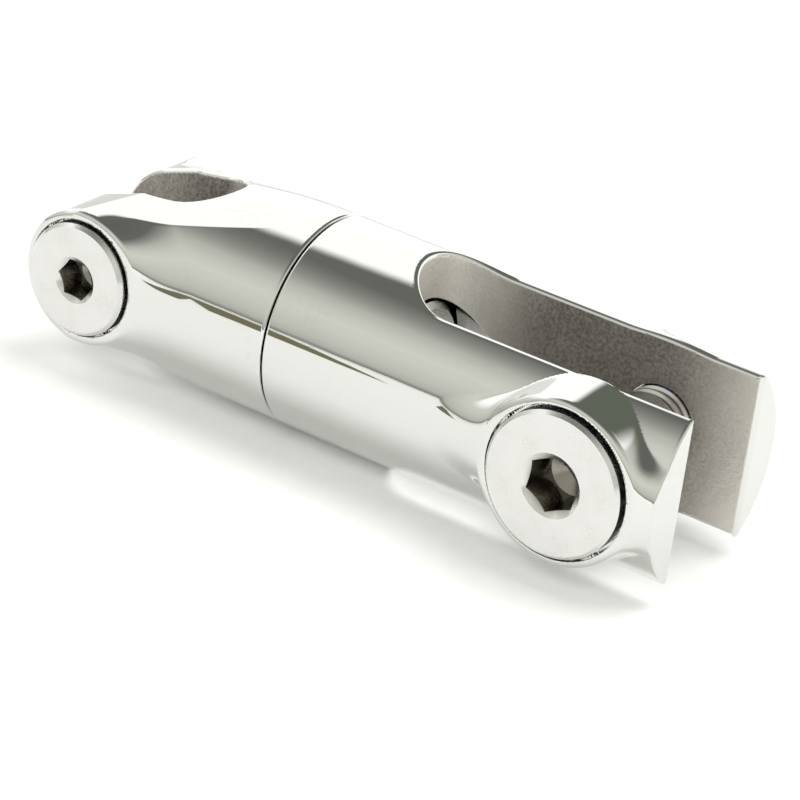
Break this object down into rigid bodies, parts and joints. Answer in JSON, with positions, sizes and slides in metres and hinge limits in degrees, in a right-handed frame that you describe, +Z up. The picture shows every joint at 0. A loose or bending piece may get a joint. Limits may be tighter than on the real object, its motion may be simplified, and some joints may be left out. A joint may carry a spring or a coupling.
{
  "type": "anchor swivel",
  "caption": "Double-fork swivel connector: a round long fork for an anchor shank and a tapered short fork for chain turn freely end to end, each closed by a flat-headed pin.",
  "frame": {"origin": "where the anchor pin's axis crosses the swivel axis, midway between the long fork's ears", "axes": "+X along the swivel axis, out through the long fork's mouth (the chain end is at -X); +Y along the pins from head to threaded end; +Z up through the open slots"},
  "size_m": [0.1177, 0.0384, 0.035],
  "materials": {
    "polished_steel": "mirror-polished 316 stainless steel, blasted inside the slots",
    "pin_steel": "satin 316 stainless steel",
    "bearing_bronze": "plain bronze",
    "bearing_plastic": "natural acetal",
    "lock_nylon": "nylon"
  },
  "bodies": {
    "long_fork_body": {"long_fork": "polished_steel", "swivel_bush": "bearing_bronze", "head_washer": "bearing_plastic", "joint_washer": "bearing_plastic"},
    "short_fork_body": {"short_fork": "polished_steel", "swivel_bolt": "pin_steel", "lock_screw": "pin_steel"},
    "anchor_pin_body": {"anchor_pin": "pin_steel", "anchor_pin_lock_patch": "lock_nylon"},
    "chain_pin_body": {"chain_pin": "pin_steel", "chain_pin_lock_patch": "lock_nylon"}
  },
  "joints": [
    {"name": "swivel", "type": "hinge", "parent": "long_fork_body", "child": "short_fork_body", "pos_m": [-0.055, 0, 0], "axis": [1, 0, 0], "continuous": true},
    {"name": "anchor_pin_out", "type": "slide", "parent": "long_fork_body", "child": "anchor_pin_body", "axis": [0, -1, 0], "range_m": [0, 0.055]},
    {"name": "chain_pin_out", "type": "slide", "parent": "short_fork_body", "child": "chain_pin_body", "axis": [0, -1, 0], "range_m": [0, 0.05]}
  ]
}
